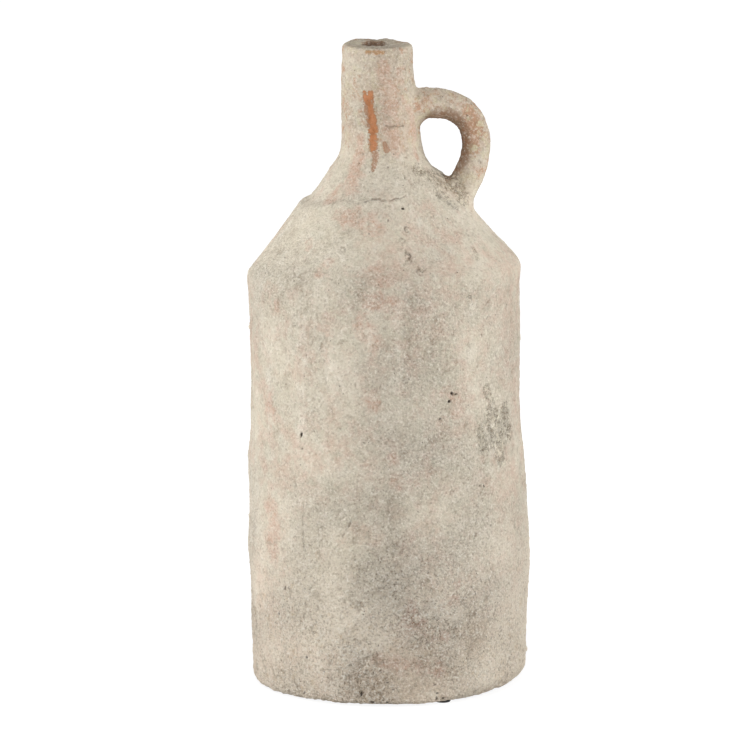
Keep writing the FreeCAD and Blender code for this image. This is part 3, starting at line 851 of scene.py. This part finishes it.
def add_node(tree, kind, inputs, **settings):
    made = tree.nodes.new("ShaderNode" + kind)
    for key, value in settings.items():
        setattr(made, key, value)
    feed(tree, made, inputs)
    return made


def levelled(tree, value, low, high, start, end=1.0, **settings):
    """Runs from start to end where a value runs from low to high."""
    inputs = {"Value": value, "From Min": low, "From Max": high, "To Min": start, "To Max": end}
    return add_node(tree, "MapRange", inputs, **settings).outputs["Result"]


class Net:
    """The nodes of one material, with short ways to add them. Sizes are in millimetres."""

    def __init__(self, name):
        self.material = bpy.data.materials.new(name)
        self.material.use_nodes = True
        self.tree = self.material.node_tree
        self.place = self.node("TexCoord", {}).outputs["Object"]

    def node(self, kind, inputs, **settings):
        return add_node(self.tree, kind, inputs, **settings)

    def texture(self, kind, size, inputs, **settings):
        """A texture whose lumps or cells are about as wide as the size."""
        inputs = {"Vector": self.place, "Scale": 1 / (size * MM), **inputs}
        return self.node("Tex" + kind, inputs, **settings)

    def noise(self, size, detail, roughness, shift, place=None):
        """Noise from 0 to 1."""
        inputs = {"Vector": place or self.place, "W": shift, "Detail": detail, "Roughness": roughness}
        return self.texture("Noise", size, inputs, noise_dimensions="4D").outputs["Fac"]

    def grains(self, size, shift):
        """Distance from the nearest grain's middle, and a random number for each grain."""
        made = self.texture("Voronoi", size, {"W": shift}, voronoi_dimensions="4D")
        parts = self.node("SeparateColor", {"Color": made.outputs["Color"]})
        return made.outputs["Distance"], parts.outputs[0]

    def crazing(self, size, width):
        """1 along the bent edges between cells, and 0 inside them."""
        made = self.texture("Noise", size, {"Detail": 2.0})
        bend = self.node("VectorMath", {0: made.outputs["Color"], 3: size * MM}, operation="SCALE")
        bent = self.node("VectorMath", {0: self.place, 1: bend.outputs[0]}, operation="ADD")
        made = self.texture("Voronoi", size, {"Vector": bent.outputs[0]}, feature="DISTANCE_TO_EDGE")
        return self.ramp(made.outputs["Distance"], width, width / 3)

    def mask(self, name):
        return self.node("Attribute", {}, attribute_name=name).outputs["Fac"]

    def ragged(self, name, share, noise, noise_share):
        """A mask with its edge broken up by noise, and nothing outside it."""
        mask = self.mask(name)
        broken = self.sum(self.times(mask, share), noise, noise_share)
        return self.times(broken, self.ramp(mask, 0.02, 0.2))

    def ramp(self, value, low, high, start=0.0, end=1.0):
        """Runs smoothly from start to end where a value runs from low to high."""
        return levelled(self.tree, value, low, high, start, end, interpolation_type="SMOOTHSTEP")

    def sum(self, a, b, scale=1.0):
        """The first value and a scaled second one."""
        return self.node("Math", {0: b, 1: scale, 2: a}, operation="MULTIPLY_ADD").outputs[0]

    def times(self, a, b):
        return self.node("Math", {0: a, 1: b}, operation="MULTIPLY").outputs[0]

    def cover(self, share, other):
        """Turns the colour so far towards another, a screen colour or a socket."""
        other = linear(*other) if isinstance(other, tuple) else other
        made = self.node("Mix", {}, data_type="RGBA")
        feed(self.tree, made, {"Factor": share, MIX_A: self.colour, MIX_B: other})
        self.colour = made.outputs[MIX_RESULT]

    def tint(self, value, low, high, most, other, where=None):
        """Turns the colour as a value runs from low to high, by a mask if one is given."""
        share = self.ramp(value, low, high, 0, most)
        self.cover(self.times(share, where) if where else share, other)

    def finish(self, height, strength, distance, inputs):
        """Puts the colour, a bump and other inputs on the shader, and gives the material back."""
        bump = self.node("Bump", {"Height": height, "Strength": strength, "Distance": distance * MM})
        inputs = {"Base Color": self.colour, "Normal": bump.outputs["Normal"], **inputs}
        feed(self.tree, self.tree.nodes["Principled BSDF"], inputs)
        return self.material


def linear(red, green, blue):
    """A shader colour from a screen colour, out of 255."""
    values = [c / 255 for c in (red, green, blue)]
    return tuple(c / 12.92 if c <= 0.04045 else ((c + 0.055) / 1.055) ** 2.4 for c in values) + (1.0,)


def paint_wash(net, small):
    """The wiped lime wash, lighter and darker, warmer and greyer from place to place, with painted light low
    down.
    """
    streaked = net.node("Mapping", {"Vector": net.place, "Scale": (1, 1, 0.12)}).outputs[0]
    net.colour = linear(211, 201, 183)
    net.cover(net.ramp(net.noise(75, 3.0, 0.5, 9), 0.35, 0.65), (208, 199, 180))
    net.tint(net.noise(16, 6.0, 0.68, 7), 0.38, 0.68, 0.55, (220, 212, 197))
    net.tint(net.noise(11, 6.0, 0.7, 21), 0.46, 0.7, 0.6, (193, 188, 169))
    net.tint(net.noise(9, 4.0, 0.6, 23, streaked), 0.52, 0.72, 0.45, (224, 218, 206))
    net.tint(net.noise(13, 4.0, 0.6, 25, streaked), 0.55, 0.75, 0.35, (186, 174, 156))
    pink = net.sum(net.noise(10, 6.0, 0.7, 31), net.noise(60, 2.0, 0.5, 33), 0.6)
    net.tint(pink, 0.74, 1.02, 0.75, (205, 179, 161))
    # Painted light: the lower body made paler, as if more lit; the nubs paler too.
    net.cover(net.times(net.mask("pale"), 0.6), (240, 226, 207))
    ochre = net.sum(net.noise(8, 5.0, 0.72, 61), net.mask("pale"), 0.13)
    net.tint(ochre, 0.66, 0.82, 0.6, (207, 182, 146))
    darker_patch = net.times(net.mask("darker_patch"), net.ramp(small, 0.3, 0.65, 0.25, 0.5))
    net.cover(darker_patch, (188, 165, 142))


def paint_wear_and_inner_shade(net):
    """Rusty clay and yellowed lime where hands have worn the wash, and painted shade in the bore and round
    the finger gap.
    """
    worn = net.mask("worn")
    stained = net.ramp(net.noise(12, 5.0, 0.65, 39), 0.3, 0.6)
    net.cover(net.times(stained, net.times(worn, 0.6)), (192, 172, 152))
    olive = net.sum(net.noise(4, 5.0, 0.75, 63), worn, 0.2)
    net.tint(olive, 0.74, 0.86, 0.6, (146, 126, 96))
    rust = net.sum(net.noise(6, 6.0, 0.75, 35), worn, 0.2)
    net.tint(rust, 0.64, 0.78, 0.75, (186, 140, 108))
    lime = net.noise(6, 5.0, 0.7, 37)
    net.tint(lime, 0.5, 0.6, 0.7, (208, 199, 168), worn)
    # Painted shade inside the bore and round the finger gap.
    net.cover(net.times(net.mask("painted_inner_shade"), 0.8), (138, 102, 76))


def paint_marks(net, small):
    """Blushes of bare clay through the wash, brown marks and the smear under the lip."""
    blush = net.sum(net.times(net.mask("blush"), 0.35), net.noise(8, 5.0, 0.7, 67), 1.2)
    patch = net.ramp(blush, 0.72, 1.08)
    net.cover(net.times(patch, 0.65), (208, 181, 164))
    speck = net.ramp(net.noise(2.6, 4.0, 0.7, 45), 0.45, 0.57, 0.0, 0.75)
    net.cover(net.times(patch, net.times(speck, 0.65)), (192, 152, 126))
    brown = net.ragged("brown", 0.5, net.noise(3, 5.0, 0.75, 49), 1.3)
    net.tint(brown, 0.86, 1.06, 0.85, (168, 126, 96))
    smear = net.ragged("smear", 0.45, small, 1.1)
    net.tint(smear, 0.66, 1.0, 0.9, (186, 142, 96))


def paint_streak(net, small, fine):
    """The streak of bare orange clay, browner along its edge."""
    washed = net.colour
    net.colour = linear(192, 128, 86)
    net.cover(net.ramp(small, 0.36, 0.64), (198, 140, 102))
    net.tint(small, 0.47, 0.33, 0.7, (158, 108, 76))
    net.tint(fine, 0.48, 0.36, 0.5, (160, 104, 68))
    net.tint(fine, 0.54, 0.66, 0.5, (216, 172, 134))
    clay = net.colour
    net.colour = washed
    bare = net.ragged("bare", 0.5, net.noise(3, 5.0, 0.8, 47), 2.2)
    edge = net.times(net.ramp(bare, 1.22, 1.34), net.ramp(bare, 1.56, 1.38, 0, 0.75))
    net.cover(net.ramp(bare, 1.3, 1.42), clay)
    net.cover(edge, (170, 130, 98))


def limewash():
    """Lime-washed clay: its colours from the broad to the fine, painted shade in its hollows, holes and
    cracks, and the bump of its sand.
    """
    net = Net("limewashed_clay")
    fine = net.noise(2, 5.0, 0.75, 3)
    small = net.noise(5, 5.0, 0.68, 5)
    sand = net.noise(1.3, 3.0, 0.7, 51)
    grain, tone = net.grains(1.3, 11)
    hole, hole_there = net.grains(3, 13)
    hollow, coarse = net.mask("hollow"), net.mask("coarse")
    paint_wash(net, small)
    paint_wear_and_inner_shade(net)
    paint_marks(net, small)
    # Painted shade in the relief's hollows, then its raised bits lighter as worn clay.
    net.tint(hollow, -0.06, -0.5, 0.42, (148, 131, 110))
    net.tint(hollow, 0.12, 0.6, 0.5, (236, 228, 213))
    crust = net.ramp(net.mask("crust"), 0.1, 0.8)
    gaps = net.times(net.crazing(1.2, 0.17), net.ramp(net.noise(2.2, 3.0, 0.6, 43), 0.46, 0.54))
    gaps = net.times(gaps, crust)
    net.tint(tone, 0.5, 0.8, 0.4, (232, 222, 198), crust)
    # Painted shade in the gaps of the crazed crust.
    net.cover(net.times(gaps, 0.55), (116, 100, 76))
    net.tint(tone, 0.25, 0.0, 0.3, (146, 130, 110))
    net.tint(tone, 0.75, 1.0, 0.12, (234, 228, 216))
    net.tint(sand, 0.47, 0.34, 0.42, (146, 130, 110), coarse)
    net.tint(sand, 0.52, 0.65, 0.5, (246, 240, 229), coarse)
    net.tint(fine, 0.44, 0.3, 0.34, (146, 128, 108), coarse)
    net.tint(fine, 0.54, 0.72, 0.38, (240, 233, 221), coarse)
    paint_streak(net, small, fine)
    hole_there = net.sum(hole_there, net.mask("pale"), 0.1)
    pinhole = net.times(net.ramp(hole, 0.2, 0.08), net.ramp(hole_there, 0.66, 0.68))
    # Painted shade in the pinholes.
    net.cover(net.times(pinhole, 0.6), (92, 80, 68))
    # Painted shade and dirt in the holes, cracks, pits and grain rings.
    net.tint(net.mask("recess_shade_and_dirt"), 0.1, 1, 0.95, (58, 48, 40))
    height = net.times(fine, 1.3)
    for part, share in ((grain, -0.5), (sand, 0.8), (tone, 0.15), (pinhole, -0.8), (gaps, -0.6)):
        height = net.sum(height, part, share)
    roughness = net.ramp(small, 0.3, 0.7, 0.88, 0.98)
    inputs = {"Roughness": roughness, "Diffuse Roughness": 0.3, "Specular IOR Level": 0.18}
    return net.finish(net.times(height, coarse), 1.0, 1.6, inputs)


def felt():
    """Black felt, with the lighter ends of its fibres."""
    net = Net("felt")
    fibre = net.noise(0.5, 4.0, 0.7, 3)
    net.colour = linear(20, 20, 21)
    net.cover(net.ramp(fibre, 0.35, 0.7), (52, 51, 52))
    roughness = net.ramp(fibre, 0.3, 0.7, 0.9, 1.0)
    return net.finish(fibre, 0.7, 0.2, {"Roughness": roughness, "Sheen Weight": 0.3})


# Middle of the finger gap in X and Z, and its half width and half height.
GAP_MIDDLE = (33.5, 338)
GAP_HALF = (14.5, 20)
# Where fingers have browned the handle: X and Z, and half width and half height.
HELD_MIDDLE = (51, 346)
HELD_HALF = (8, 18)


def from_middle(points, middle, half):
    """How far points are from a middle in X and Z, as a share of the half sizes."""
    return np.hypot((points[:, 0] - middle[0]) / half[0], (points[:, 2] - middle[1]) / half[1])


def put_wear_and_inner_shade(piece, on_handle):
    """Masks of how worn the wash is, and of painted shade on what faces the finger gap or lies in the bore.
    """
    mesh = piece.data
    points = np.empty(len(mesh.vertices) * 3)
    mesh.vertices.foreach_get("co", points)
    points = points.reshape(-1, 3) / MM
    z = points[:, 2]
    if on_handle:
        held = step(1.2, 0.3, from_middle(points, HELD_MIDDLE, HELD_HALF))
        worn = 0.2 + 0.65 * step(303, 325, z) + 0.7 * held
        # Painted shade on the faces round the finger gap.
        painted_inner_shade = step(1.3, 1.0, from_middle(points, GAP_MIDDLE, GAP_HALF))
    else:
        worn = 0.65 * step(318, 345, z)
        # Painted shade down the bore.
        painted_inner_shade = step(BORE + 0.9, BORE + 0.2, np.hypot(points[:, 0] - centre_x(z), points[:, 1]))
    put_masks(mesh, {"worn": worn, "painted_inner_shade": painted_inner_shade})


clay_material, felt_material = limewash(), felt()
clay_pieces = [
    (make_base(), ["base_slab"]),
    (drum("lower_wall_skin", SLAB_TOP, DRUM_JOINT, 76, 77), ["lower_wall"]),
    (drum("upper_wall_skin", DRUM_JOINT, SHOULDER_FOOT, 77, 76.2), ["upper_wall"]),
    (clay_ring("shoulder_skin", SHOULDER_FOOT, LEDGE_TOP, SHOULDER_PITCH, WALL_COLUMNS, SHOULDER_HOLLOW),
     ["shoulder_cone"]),
    (clay_ring("collar_skin", LEDGE_TOP, NECK_FOOT, NECK_PITCH, COLLAR_COLUMNS, COLLAR_HOLLOW),
     ["neck_collar"]),
    (clay_ring("neck_skin", NECK_FOOT, LIP_FOOT, NECK_PITCH, NECK_COLUMNS, NECK_HOLLOW), ["neck_tube"]),
    (make_lip(), ["rim_lip"]),
    (grown_piece("handle_skin", coil_solid, (6, -12, 284), (66, 12, 375)), ["handle_loop"]),
    (grown_piece("upper_wad_skin", wad_solid, (4, -20, 340), (40, 20, 378)), ["handle_upper_lute"]),
    (grown_piece("lower_wad_skin", wad_solid, (14, -22, 286), (64, 22, 334)), ["handle_lower_lute"]),
]
for piece, nodes in clay_pieces:
    put_wear_and_inner_shade(piece, nodes[0].startswith("handle"))
    piece.data.materials.append(clay_material)
    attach(piece, "root")
    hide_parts(*nodes)

for number in (1, 2, 3):
    low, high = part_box(f"felt_pad_{number}")
    middle = [(low[axis] + high[axis]) / 2 / MM for axis in (0, 1)]
    pad = make_pad(number, middle)
    pad.data.materials.append(felt_material)
    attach(pad, "root")
    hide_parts(f"felt_pad_{number}")


# The floor's half size, and the distances from the jug between which its white deepens to full strength.
FLOOR_HALF = 12.0
WHITE_BAND = (0.12, 0.45)
NEAR_WHITE = 0.9
PLAIN_GREY = (0.85, 0.85, 0.85, 1)
SHADOW_GREY = (0.2, 0.2, 0.2, 1)
AMBIENT = 0.27


def sees_backdrop(tree):
    """1 for rays that show the white backdrop, straight on or by way of metal or glass."""
    path = add_node(tree, "LightPath", {})
    either = path.outputs["Is Camera Ray"]
    for ray in ("Is Glossy Ray", "Is Transmission Ray"):
        either = add_node(tree, "Math", {0: either, 1: path.outputs[ray]}, operation="MAXIMUM").outputs[0]
    return either


def make_floor():
    """A pale floor that the camera sees as white, with the jug's shadow on it."""
    corners = [(x * FLOOR_HALF, y * FLOOR_HALF, 0) for x, y in ((-1, -1), (1, -1), (1, 1), (-1, 1))]
    mesh = bpy.data.meshes.new("floor")
    mesh.from_pydata(corners, [], [(0, 1, 2, 3)])
    floor = placed("floor", mesh)
    material = bpy.data.materials.new("floor")
    material.use_nodes = True
    tree = material.node_tree
    tree.nodes.clear()
    place = add_node(tree, "TexCoord", {}).outputs["Object"]
    away = add_node(tree, "VectorMath", {0: place}, operation="LENGTH").outputs["Value"]
    glow = add_node(tree, "Emission", {"Strength": levelled(tree, away, *WHITE_BAND, NEAR_WHITE)})
    plain = add_node(tree, "BsdfDiffuse", {"Color": PLAIN_GREY})
    dim = add_node(tree, "BsdfDiffuse", {"Color": SHADOW_GREY})
    seen = add_node(tree, "AddShader", {0: dim.outputs[0], 1: glow.outputs[0]})
    mix = add_node(tree, "MixShader", {0: sees_backdrop(tree), 1: plain.outputs[0], 2: seen.outputs[0]})
    add_node(tree, "OutputMaterial", {"Surface": mix.outputs[0]})
    mesh.materials.append(material)


def add_lamp(name, place, aim, width, height, power):
    lamp = bpy.data.lights.new(name, "AREA")
    lamp.shape = "RECTANGLE"
    lamp.size, lamp.size_y, lamp.energy = width, height, power
    holder = placed(name, lamp)
    holder.location = place
    holder.rotation_euler = (Vector(aim) - Vector(place)).to_track_quat("-Z", "Y").to_euler()
    holder.visible_camera = False


make_floor()
add_lamp("left_softbox", (-1.38, -0.24, 0.3), (0, 0, 0.16), 0.9, 0.6, 15.3)
add_lamp("right_softbox", (1.38, -0.24, 0.3), (0, 0, 0.16), 0.9, 0.6, 13.4)
add_lamp("top_softbox", (0, -1.1, 1.4), (0, 0, 0.25), 0.9, 0.9, 11.8)
add_lamp("front_softbox", (0, -2.2, 0.28), (0, 0, 0.1), 1.4, 0.5, 7.6)

world = bpy.data.worlds.new("studio")
bpy.context.scene.world = world
world.use_nodes = True
world_tree = world.node_tree
ambient = world_tree.nodes["Background"]
strength = levelled(world_tree, sees_backdrop(world_tree), 0.0, 1.0, AMBIENT)
feed(world_tree, ambient, {"Color": (1, 1, 1, 1), "Strength": strength})

# The camera stands this many metres from its aim and looks down; the picture's side is in metres at the jug.
CAMERA_AWAY = 4.0
CAMERA_RISE = math.radians(10.7)
CAMERA_AIM = (-0.00874, 0, 0.1921)
PICTURE_SIDE = 0.4655
SENSOR = 36.0
camera_data = bpy.data.cameras.new("camera")
camera_data.sensor_width = SENSOR
camera_data.lens = CAMERA_AWAY * SENSOR / PICTURE_SIDE
camera_data.clip_end = 60
camera = placed("camera", camera_data)
camera.location = (CAMERA_AIM[0], CAMERA_AIM[1] - CAMERA_AWAY * math.cos(CAMERA_RISE),
                   CAMERA_AIM[2] + CAMERA_AWAY * math.sin(CAMERA_RISE))
camera.rotation_euler = (math.pi / 2 - CAMERA_RISE, 0, 0)
bpy.context.scene.camera = camera
bpy.context.scene.view_settings.view_transform = "Standard"
